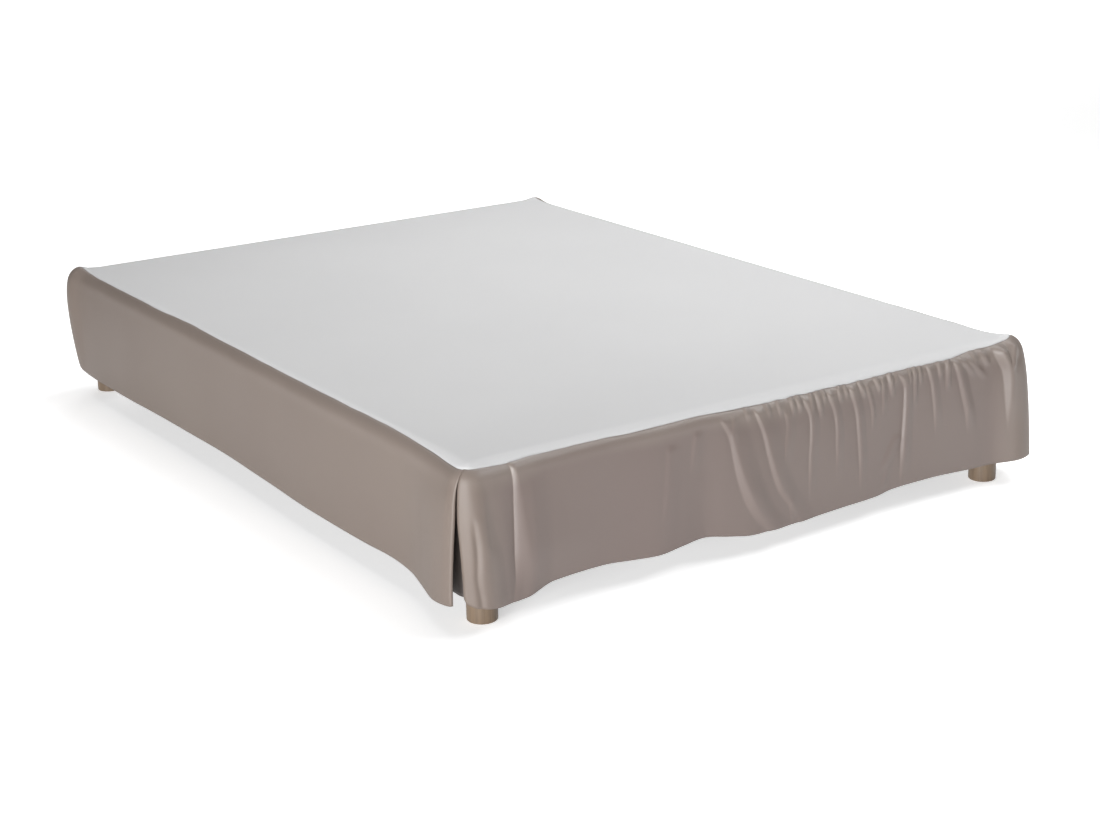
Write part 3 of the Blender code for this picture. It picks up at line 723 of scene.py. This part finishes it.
# The broad hollow between the near corner and the first fold
NEAR_CORNER_END = -0.55
HOLLOW_DEPTH = 0.0058
HOLLOW_SIDE = 0.036
HOLLOW_FULL_AT = 0.35
HOLLOW_START = ((-0.702, 0.320), (-0.697, 0.285), (-0.690, 0.250), (-0.682, 0.181), (-0.671, 0.150),
                (-0.668, 0.105), (-0.664, 0.060), (-0.662, 0.0))
# The crease beside the near pleat: a thin dip, and on its right a narrow flank that climbs to the edge of
# the hollow
CREASE = ((-0.6865, 0.235), (-0.684, 0.215), (-0.682, 0.180), (-0.6815, 0.152), (-0.682, 0.110),
          (-0.6795, 0.068), (-0.678, 0.0))
CREASE_FOLD = (0.30, 0.55, 0.006, 0.008, 0.5, 0.014)
CREASE_DIP = 0.0030
CREASE_DIP_SIDE = 0.0030
CREASE_DEEPENS_OVER = 0.06
# Puckers just under the seam, fine and wide, fullest where the strip is gathered
FOOT_GATHERED = (-0.10, 0.05, 0.54, 0.66)
PUCKER_WHERE_FLAT = 0.25
PUCKER_START = 0.006
FOOT_PUCKER_REACH = 0.022
FINE_PUCKER = 0.0007
FINE_PUCKER_SPACING = 0.009
WIDE_PUCKER = 0.0006
WIDE_PUCKER_SPACING = 0.021
FOOT_UNEVEN = 0.0014
FOOT_WAVES = (9.0, 5.0)

DROP_TURN_SHARES = (0.0, 0.04, 0.09, 0.16, 0.25, 0.36, 0.50, 0.66, 0.83, 1.0)
FOOT_DROP_STEP = 0.0035
FOOT_FOLD_STEP = 0.0017
FIRST_FOLD_END = -0.56
FOLDS_FROM = -0.13
NEAR_CORNER_STEP = 0.0012
FOOT_PLEAT_STEP = 0.0012
FOOT_DROP_ROWS = 46
DROP_HEM = 0.022
TAUPE_LIGHT = (0.131, 0.100, 0.086, 1.0)
TAUPE_SHADE = (0.120, 0.0875, 0.077, 1.0)
TAUPE_THREAD = 0.0007
# The taupe turns olive, and then duller, as it gets this far from the middle of the foot end; and it is
# painted lighter as it gets this high above the hem, a painted highlight where the cloth turns up over the
# edge into the light
OLIVE_LIGHT = (0.149, 0.119, 0.099, 1.0)
OLIVE_SHADE = (0.137, 0.107, 0.091, 1.0)
OLIVE_FROM = 0.600
OLIVE_TO = 0.700
DULL_GLOSS = 0.45
DULL_FROM = 0.660
DULL_TO = 0.690
SEAM_HIGHLIGHT_LIGHT = (0.181, 0.148, 0.128, 1.0)
SEAM_HIGHLIGHT_SHADE = (0.167, 0.136, 0.118, 1.0)
SEAM_HIGHLIGHT_FROM = 0.214
SEAM_HIGHLIGHT_TO = 0.256


def standing_out(share, lift, hem, belly):
    """How far a drop hangs outside the straight fall, at a share of the way down to the hem."""
    share = max(share, 0.0)
    flare = hem * (1 + FLARE_BEND) * share / (FLARE_BEND + share)
    bulge = belly * math.sqrt(max(4 * share * (1 - share), 0.0)) * (1 - BELLY_LEAN * share)
    return flare + bulge + lift * (1 - min(share, 1.0)) ** LIFT_FALLOFF


def pleat_place(share, drop):
    """Where a drop's end at the pleat lies along the skirt, at a share of the way down."""
    return SHOULDER_X + SHOULDER * math.radians(read_table(PLEAT_EDGES, share)[drop])


def pleat_shift(along, share, drop):
    """How far the pleat's opening moves a point of a drop along the skirt."""
    opening = pleat_place(share, drop) - pleat_place(0.0, drop)
    return opening * (1.0 - ease(abs(along - pleat_place(0.0, drop)) / PLEAT_BLEND))


def drop_fall(row, rows, seam_fall, hem_height):
    """The fall, the share of the way down and the distance from the seam, for a row of a drop."""
    turns = len(DROP_TURN_SHARES) - 1
    if row <= turns:
        fall = seam_fall + (QUARTER_TURN - seam_fall) * DROP_TURN_SHARES[row]
    else:
        fall = QUARTER_TURN + (SHOULDER_Z - hem_height) * (row - turns) / (rows - turns)
    seam_height = arc_height(seam_fall)
    return fall, (seam_height - arc_height(fall)) / (seam_height - hem_height), fall - seam_fall


def path_place(path, height):
    """Where a path from the top down lies along the skirt at a height."""
    return read_table([(-level, place) for place, level in path], -height)[0]


def fold_height(fold, along, height):
    """How far one fold lifts the cloth at a place."""
    steep_top, steep_low, left_top, left_low, softness, right, path = fold
    top, low = path[0][1], path[-1][1]
    if not low < height < top:
        return 0.0
    share = (top - height) / (top - low)
    left = left_top + (left_low - left_top) * share
    foot = path_place(path, height) - FOLD_FOOT_SHARE * left
    up = (along - foot) / left
    if not 0.0 < up < 1.0 + right / left:
        return 0.0
    fade = ease((top - height) / FOLD_STARTS_IN)
    if low > 0.0:
        fade *= 1.0 - ease((share - FOLD_FADES_FROM) / (1.0 - FOLD_FADES_FROM))
    else:
        fade *= 1.0 - FOLD_LOST_AT_HEM * ease((FOLD_LOSES_BELOW - height) / FOLD_LOSES_OVER)
    crest = (steep_top + (steep_low - steep_top) * share) * left / (1 + softness)
    if up < 1.0:
        return crest * fade * (1.0 - (1.0 - up) ** (1 + softness))
    return crest * fade * (1.0 - ease((along - foot - left) / right))


def gather_folds():
    """The short gathers as folds that start at the seam."""
    folds = []
    for top, low, low_height, steepness, flank in FOOT_GATHERS:
        slopes = [steepness * share for share in GATHER_SLOPES]
        left, right = (flank * share for share in GATHER_FLANKS)
        folds.append((*slopes, left, left, GATHER_SOFTNESS, right, ((top, GATHER_TOP), (low, low_height))))
    return folds


ALL_FOOT_FOLDS = list(FOOT_FOLDS) + gather_folds()


def near_corner_relief(along, height, share):
    """The hollow and the crease beside the near pleat."""
    if along > NEAR_CORNER_END:
        return 0.0
    into = min(max((along - path_place(HOLLOW_START, height)) / HOLLOW_SIDE, 0.0), 1.0)
    past_fold = ease((along - path_place(FOOT_FOLDS[0][-1], height)) / HOLLOW_SIDE)
    relief = -HOLLOW_DEPTH * ease(share / HOLLOW_FULL_AT) * ease(into) * (1.0 - past_fold)
    relief += fold_height(CREASE_FOLD + (CREASE,), along, height)
    left_of_crease = path_place(CREASE, height) - FOLD_FOOT_SHARE * CREASE_FOLD[3] - along
    deep = CREASE_DIP * ease((CREASE[0][1] - height) / CREASE_DEEPENS_OVER)
    return relief - deep * math.exp(-((left_of_crease / CREASE_DIP_SIDE) ** 2))


def foot_relief(along, height, distance, share):
    """The relief of the foot drop: its folds, its gathers and the puckers at the seam."""
    relief = sum(fold_height(fold, along, height) for fold in ALL_FOOT_FOLDS)
    gathered = PUCKER_WHERE_FLAT + (1.0 - PUCKER_WHERE_FLAT) * gathered_share(along, FOOT_GATHERED)
    pucker = FINE_PUCKER * waver(along, FINE_PUCKER_SPACING, seed=5.2)
    pucker += WIDE_PUCKER * waver(along, WIDE_PUCKER_SPACING, seed=8.8)
    fade = ease(distance / PUCKER_START) * math.exp(-((distance / FOOT_PUCKER_REACH) ** 2))
    relief += gathered * pucker * fade + FOOT_UNEVEN * unevenness(along, height, FOOT_WAVES, seed=3.3)
    return relief + near_corner_relief(along, height, share)


def rolled_end(distance, share, reach, depth):
    """How far a drop's end at the pleat turns in, at a distance from that end."""
    turn = min(max(1.0 - distance / reach, 0.0), 1.0)
    growth = ROLL_AT_SEAM + (1.0 - ROLL_AT_SEAM) * ease(share / ROLL_FULL_AT)
    return depth * (1.0 - math.sqrt(1.0 - turn * turn)) * growth


def foot_drop_point(along, row, rows):
    """A point of the foot drop, with its distance up from the hem."""
    seam_fall, lift = seam_line(along)
    hem_height, flare = read_table(FOOT_HEM, along)
    fall, share, distance = drop_fall(row, rows, seam_fall + SEAM_GAP / 2, hem_height)
    end = pleat_place(0.0, FOOT_EDGE)
    place = math.copysign(abs(along) + pleat_shift(abs(along), share, FOOT_EDGE), along)
    proud = standing_out(share, lift, flare, 0.0) + foot_relief(place, arc_height(fall), distance, share)
    proud -= seam_dip(distance) + rolled_end(end - abs(along), share, FOOT_ROLL, FOOT_ROLL_DEPTH)
    return cloth_point(place, fall, proud), SHOULDER_Z - hem_height + QUARTER_TURN - fall


def hanging_sheet(name, places, rows, point_at, material, slot, node):
    """A sheet with a column of points at each place and rows from its seam down to its hem."""
    columns = len(places) - 1
    bm = bmesh.new()
    bmesh.ops.create_grid(bm, x_segments=columns, y_segments=rows, size=1.0)
    up_from_hem = bm.verts.layers.float.new("up from the hem")
    round_skirt = bm.verts.layers.float.new("along the skirt")
    for vertex in bm.verts:
        column = round((vertex.co.x + 1) / 2 * columns)
        row = round((1 - vertex.co.y) / 2 * rows)
        vertex.co, vertex[up_from_hem] = point_at(places[column], row, rows)
        vertex[round_skirt] = places[column]
    cut = bm.loops.layers.uv.new("cut")
    for face in bm.faces:
        for loop in face.loops:
            loop[cut].uv = (loop.vert[round_skirt], loop.vert[up_from_hem])
    sheet = finish_piece(bm, name, material, slot, node)
    thicken(sheet)
    return sheet


def mixed(tree, share, first, second):
    """One patterned colour that passes into another."""
    mix = tree.nodes.new("ShaderNodeMixRGB")
    for socket, output in zip(mix.inputs, (share, first, second)):
        tree.links.new(output, socket)
    return mix.outputs[0]


def taupe_drift_and_painted_highlight(tree, split, tone, colour, shader):
    """The taupe turns olive and duller towards the pleats and on the sides, and is painted lighter towards
    the seam as a painted highlight.
    """
    from_middle = worked_out(tree, "ABSOLUTE", split.outputs["X"])
    olive = passing(tree, from_middle, OLIVE_FROM, OLIVE_TO)
    colour = mixed(tree, olive, colour, cloth_tones(tree, tone, OLIVE_SHADE, OLIVE_LIGHT))
    # Painted highlight: the colour is lightened towards the seam, where the cloth turns up over the edge
    # into the light
    pale = passing(tree, split.outputs["Y"], SEAM_HIGHLIGHT_FROM, SEAM_HIGHLIGHT_TO)
    colour = mixed(tree, pale, colour, cloth_tones(tree, tone, SEAM_HIGHLIGHT_SHADE, SEAM_HIGHLIGHT_LIGHT))
    gloss = passing(tree, from_middle, DULL_FROM, DULL_TO, CLOTH_GLOSS, DULL_GLOSS)
    tree.links.new(gloss, shader.inputs["Specular IOR Level"])
    return colour


def build_foot_drop(taupe):
    """The foot drop from pleat to pleat."""
    end = pleat_place(0.0, FOOT_EDGE)
    roll = [end - FOOT_ROLL * share for share in ROLL_SHARES]
    corner = evenly(SHOULDER_X, roll[0], FOOT_PLEAT_STEP)[1:] + roll[1:]
    middle = in_stretches(-SHOULDER_X, (FIRST_FOLD_END, NEAR_CORNER_STEP), (FOLDS_FROM, FOOT_DROP_STEP),
                          (SHOULDER_X, FOOT_FOLD_STEP))
    places = [-place for place in reversed(corner)] + middle + corner
    rows = len(DROP_TURN_SHARES) - 1 + FOOT_DROP_ROWS
    sheet = hanging_sheet("foot_drop_sheet", places, rows, foot_drop_point, taupe, "drop_cloth", "drop_foot")


taupe_cloth = woven_cloth("taupe_microfibre", TAUPE_LIGHT, TAUPE_SHADE, TAUPE_THREAD,
                          roughness=0.50, sheen=0.0, hem=DROP_HEM, drift=taupe_drift_and_painted_highlight)
build_foot_drop(taupe_cloth)


# ------------------------------------------------------------------ The side drops
# The same taupe strip on each long side, sewn flat with no gathers, so that it hangs nearly smooth.
# Each starts at a foot-corner pleat and is carried on round its head corner, where it bellies out.

LEFT_HEM = (
    # metres from the bed's middle towards the head, hem height, stands out, bellies out
    (-0.944, 0.058, 0.037, 0.0), (-0.920, 0.054, 0.036, 0.0), (-0.880, 0.051, 0.032, 0.0),
    (-0.820, 0.054, 0.018, 0.0), (-0.760, 0.058, 0.006, 0.0), (-0.680, 0.061, 0.002, 0.001),
    (-0.580, 0.058, 0.003, 0.002), (-0.450, 0.056, 0.005, 0.002), (-0.300, 0.057, 0.006, 0.001),
    (-0.150, 0.060, 0.004, 0.001), (0.020, 0.062, 0.001, 0.002), (0.160, 0.063, 0.002, 0.002),
    (0.300, 0.061, 0.003, 0.002), (0.430, 0.060, 0.005, 0.001), (0.600, 0.058, 0.008, 0.002),
    (0.800, 0.056, 0.009, 0.004), (0.885, 0.056, 0.008, 0.010), (0.923, 0.059, 0.009, 0.024),
    (0.947, 0.063, 0.011, 0.027), (0.972, 0.064, 0.010, 0.018), (1.003, 0.062, 0.006, 0.006),
)
RIGHT_HEM = (
    # metres from the bed's middle towards the head, hem height, stands out, bellies out
    (-0.944, 0.061, 0.048, 0.0), (-0.920, 0.058, 0.042, 0.0), (-0.870, 0.055, 0.031, 0.0),
    (-0.790, 0.055, 0.014, 0.001), (-0.640, 0.059, 0.003, 0.002), (-0.430, 0.060, 0.004, 0.001),
    (-0.340, 0.059, 0.006, 0.001), (-0.120, 0.057, 0.009, 0.002), (0.110, 0.060, 0.005, 0.002),
    (0.290, 0.062, 0.002, 0.001), (0.450, 0.061, 0.003, 0.002), (0.500, 0.061, 0.004, 0.002),
    (0.660, 0.058, 0.007, 0.002), (0.810, 0.057, 0.008, 0.004), (0.885, 0.056, 0.008, 0.008),
    (0.923, 0.054, 0.006, 0.016), (0.947, 0.053, 0.004, 0.020), (0.972, 0.054, 0.003, 0.014),
    (1.003, 0.056, 0.004, 0.005),
)
SIDE_PUCKER = 0.00035
SIDE_PUCKER_SPACING = 0.030
SIDE_PUCKER_REACH = 0.018
SIDE_UNEVEN = 0.0016
SIDE_UNEVEN_FROM = 0.05
SIDE_WAVES = (6.0, 3.0)
# The spacing of the columns: at the pleat, near both corners, between them, and round the head corner
SIDE_PLEAT_STEP = 0.0018
SIDE_CORNER_STEP = 0.005
SIDE_DROP_STEP = 0.0075
SIDE_TURN_STEP = 0.0028
SIDE_WRAP_STEP = 0.004
FOOT_CORNER_SPAN = 0.12
HEAD_CORNER_SPAN = 0.10
SIDE_DROP_ROWS = 40


def side_relief(side, along, height, distance):
    """The relief of a side drop: a faint unevenness, and small puckers at the seam."""
    pucker = SIDE_PUCKER * waver(side * along, SIDE_PUCKER_SPACING, seed=2.9)
    pucker *= ease(distance / PUCKER_START) * math.exp(-((distance / SIDE_PUCKER_REACH) ** 2))
    soft = SIDE_UNEVEN * unevenness(along, height, SIDE_WAVES, seed=7.7 + side)
    return pucker + soft * ease(distance / SIDE_UNEVEN_FROM)


def side_drop_point(side, along, row, rows):
    """A point of the left (-1) or right (1) drop, with its distance up from the hem."""
    seam_fall, lift = seam_line(side * along)
    table = LEFT_HEM if side < 0 else RIGHT_HEM
    hem_height, flare, belly = read_table(table, along - SIDE_MIDDLE)
    fall, share, distance = drop_fall(row, rows, seam_fall + SEAM_GAP / 2, hem_height)
    place = along + pleat_shift(along, share, SIDE_EDGE)
    proud = standing_out(share, lift, flare, belly) + side_relief(side, place, arc_height(fall), distance)
    proud -= seam_dip(distance)
    proud -= rolled_end(along - pleat_place(0.0, SIDE_EDGE), share, SIDE_ROLL, SIDE_ROLL_DEPTH)
    return cloth_point(side * place, fall, proud), SHOULDER_Z - hem_height + QUARTER_TURN - fall


def build_side_drop(side, name, node, taupe):
    """The drop of one side, from its pleat to just past the head corner."""
    start = pleat_place(0.0, SIDE_EDGE)
    roll = [start + SIDE_ROLL * share for share in reversed(ROLL_SHARES)]
    places = roll[:-1] + in_stretches(
        roll[-1], (SIDE_START, SIDE_PLEAT_STEP), (SIDE_START + FOOT_CORNER_SPAN, SIDE_CORNER_STEP),
        (SIDE_END - HEAD_CORNER_SPAN, SIDE_DROP_STEP), (SIDE_END, SIDE_CORNER_STEP),
        (HEAD_START, SIDE_TURN_STEP), (HEAD_START + HEAD_WRAP, SIDE_WRAP_STEP))

    def point_at(along, row, rows):
        return side_drop_point(side, along, row, rows)

    rows = len(DROP_TURN_SHARES) - 1 + SIDE_DROP_ROWS
    sheet = hanging_sheet(name, places, rows, point_at, taupe, "drop_cloth", node)


build_side_drop(-1, "left_drop_sheet", "drop_left", taupe_cloth)
build_side_drop(1, "right_drop_sheet", "drop_right", taupe_cloth)


# ------------------------------------------------------------------ The corner inserts
# A short strip of the same taupe, sewn into the seam with the drops and hanging close to the base, so
# that no daylight shows through.  Its colour is made near black: painted shade for the inside of the open
# pleat.

# The insert's tones: the taupe painted near black, as painted shade for the inside of the open pleat
INSERT_PAINTED_SHADE_LIGHT = (0.050, 0.038, 0.032, 1.0)
INSERT_PAINTED_SHADE_DARK = (0.042, 0.031, 0.027, 1.0)
INSERT_REACH = 0.050
INSERT_HEM_HEIGHT = 0.064
INSERT_DIP_END = 0.1
INSERT_UNEVEN = 0.0012
INSERT_UNEVEN_FROM = 0.2
# Waves to the metre along the strip, and to its whole fall
INSERT_WAVES = (30.0, 3.0)
INSERT_STEP = 0.005
INSERT_CORNER_STEP = 0.0025
INSERT_ROWS = 32


def insert_point(along, row, rows):
    """A point of an insert, with its distance up from the hem."""
    seam_fall, lift = seam_line(along)
    fall, share, _ = drop_fall(row, rows, seam_fall + SEAM_GAP / 2, INSERT_HEM_HEIGHT)
    dip = SEAM_DIP * ease(1.0 - share / INSERT_DIP_END)
    proud = standing_out(share, lift, 0.0, 0.0) - CLOTH - LAYER_GAP - dip
    slack = 1.0 + unevenness(along, share, INSERT_WAVES, seed=1.2)
    proud += INSERT_UNEVEN * ease(share / INSERT_UNEVEN_FROM) * slack
    return cloth_point(along, fall, proud), SHOULDER_Z - INSERT_HEM_HEIGHT + QUARTER_TURN - fall


def build_insert(side, name, node, taupe):
    """The strip behind one pleat, wrapped round its foot corner."""
    places = in_stretches(SHOULDER_X - INSERT_REACH, (SHOULDER_X, INSERT_STEP),
                          (SIDE_START, INSERT_CORNER_STEP), (SIDE_START + INSERT_REACH, INSERT_STEP))
    places = [side * place for place in places]
    rows = len(DROP_TURN_SHARES) - 1 + INSERT_ROWS
    sheet = hanging_sheet(name, places, rows, insert_point, taupe, "drop_cloth", node)


# Painted shade: the drops' weave in the near-black tones that stand for the shade inside the pleat
painted_shade_cloth = woven_cloth("taupe_microfibre_painted_shade", INSERT_PAINTED_SHADE_LIGHT, INSERT_PAINTED_SHADE_DARK, TAUPE_THREAD,
                           roughness=0.65, sheen=0.0, hem=DROP_HEM)
build_insert(-1, "left_corner_insert", "corner_insert_left", painted_shade_cloth)
build_insert(1, "right_corner_insert", "corner_insert_right", painted_shade_cloth)


# ------------------------------------------------------------------ The studio
# A plain pale floor that gives off a little light and so stays white.  Two low softboxes at the front left
# skim the folds, strips hang over the foot end and the left edge, and broad ones overhead, at the right and
# over the floor behind.  The camera stands at eye level off the near corner.

FLOOR_REACH = 60.0
FLOOR_TONE = (0.96, 0.96, 0.96, 1.0)
FLOOR_MOTTLE = (0.95, 0.95, 0.95, 1.0)
FLOOR_GLOW = 0.56
WALL_LIGHT = 0.06
SOFTBOXES = (
    # name, place, aim, watts, width, height
    ("left_softbox", (-5.8, -3.4, 0.85), (-0.3, -0.6, 0.2), 360.0, 2.0, 1.2),
    ("low_front_softbox", (-4.2, -5.0, 0.8), (0.0, -0.8, 0.2), 140.0, 1.6, 1.2),
    ("foot_strip_softbox", (1.5, -1.72, 2.2), (0.0, -0.95, 0.3), 34.0, 1.8, 0.4),
    ("overhead_softbox", (0.9, 0.6, 2.7), (0.3, 0.2, 0.3), 63.0, 1.8, 2.2),
    ("left_edge_strip", (-0.75, -0.05, 1.35), (-0.75, -0.05, 0.3), 3.4, 0.4, 2.6),
    ("right_softbox", (5.0, -1.6, 2.2), (0.7, -0.6, 0.2), 22.0, 1.6, 1.6),
    ("background_softbox", (5.0, 7.5, 4.5), (5.0, 7.5, 0.0), 340.0, 7.0, 5.0),
)
# The camera's place, its angles in degrees, and its lens and sensor in millimetres
CAMERA_PLACE = (-2.44871, -3.90115, 1.52643)
CAMERA_TURN = -33.298985
CAMERA_TILT = 72.1352705
CAMERA_ROLL = -1.2205028
CAMERA_LENS = 66.008
CAMERA_SENSOR = 36.0


def build_floor():
    """The studio floor."""
    bm = bmesh.new()
    bmesh.ops.create_grid(bm, x_segments=8, y_segments=8, size=FLOOR_REACH)
    material, tree, shader, place = start_material("pale_floor")
    mottle = add_node(tree, "ShaderNodeTexNoise", {"Scale": 3.0, "Detail": 3.0}, Vector=place)
    tone = two_tones(tree, mottle.outputs["Fac"], FLOOR_MOTTLE, FLOOR_TONE)
    tree.links.new(tone, shader.inputs["Base Color"])
    tree.links.new(tone, shader.inputs["Emission Color"])
    shader.inputs["Emission Strength"].default_value = FLOOR_GLOW
    shader.inputs["Roughness"].default_value = 0.95
    make_object(bm, "studio_floor", material)


def add_softbox(name, place, aim, watts, width, height):
    """A softbox at a place, aimed at a point, that lights the bed but doesn't itself show."""
    light = bpy.data.lights.new(name, "AREA")
    light.energy = watts
    light.shape = "RECTANGLE"
    light.size = width
    light.size_y = height
    lamp = bpy.data.objects.new(name, light)
    lamp.location = place
    lamp.rotation_euler = (Vector(aim) - Vector(place)).to_track_quat("-Z", "Y").to_euler()
    lamp.visible_camera = False
    bpy.context.scene.collection.objects.link(lamp)


def light_studio():
    """The softboxes and the even, faint light of the studio's white walls."""
    world = bpy.data.worlds.new("white studio")
    bpy.context.scene.world = world
    world.use_nodes = True
    walls = world.node_tree.nodes["Background"]
    walls.inputs["Color"].default_value = (1.0, 1.0, 1.0, 1.0)
    walls.inputs["Strength"].default_value = WALL_LIGHT
    for softbox in SOFTBOXES:
        add_softbox(*softbox)


def place_camera():
    """The camera off the near corner."""
    camera = bpy.data.objects.new("camera", bpy.data.cameras.new("camera"))
    camera.data.sensor_fit = "HORIZONTAL"
    camera.data.sensor_width = CAMERA_SENSOR
    camera.data.lens = CAMERA_LENS
    turn = (Matrix.Rotation(math.radians(CAMERA_TURN), 4, "Z")
            @ Matrix.Rotation(math.radians(CAMERA_TILT), 4, "X")
            @ Matrix.Rotation(math.radians(CAMERA_ROLL), 4, "Z"))
    camera.matrix_world = Matrix.Translation(CAMERA_PLACE) @ turn
    bpy.context.scene.collection.objects.link(camera)
    bpy.context.scene.camera = camera


build_floor()
light_studio()
place_camera()
bpy.context.scene.view_settings.view_transform = "Standard"
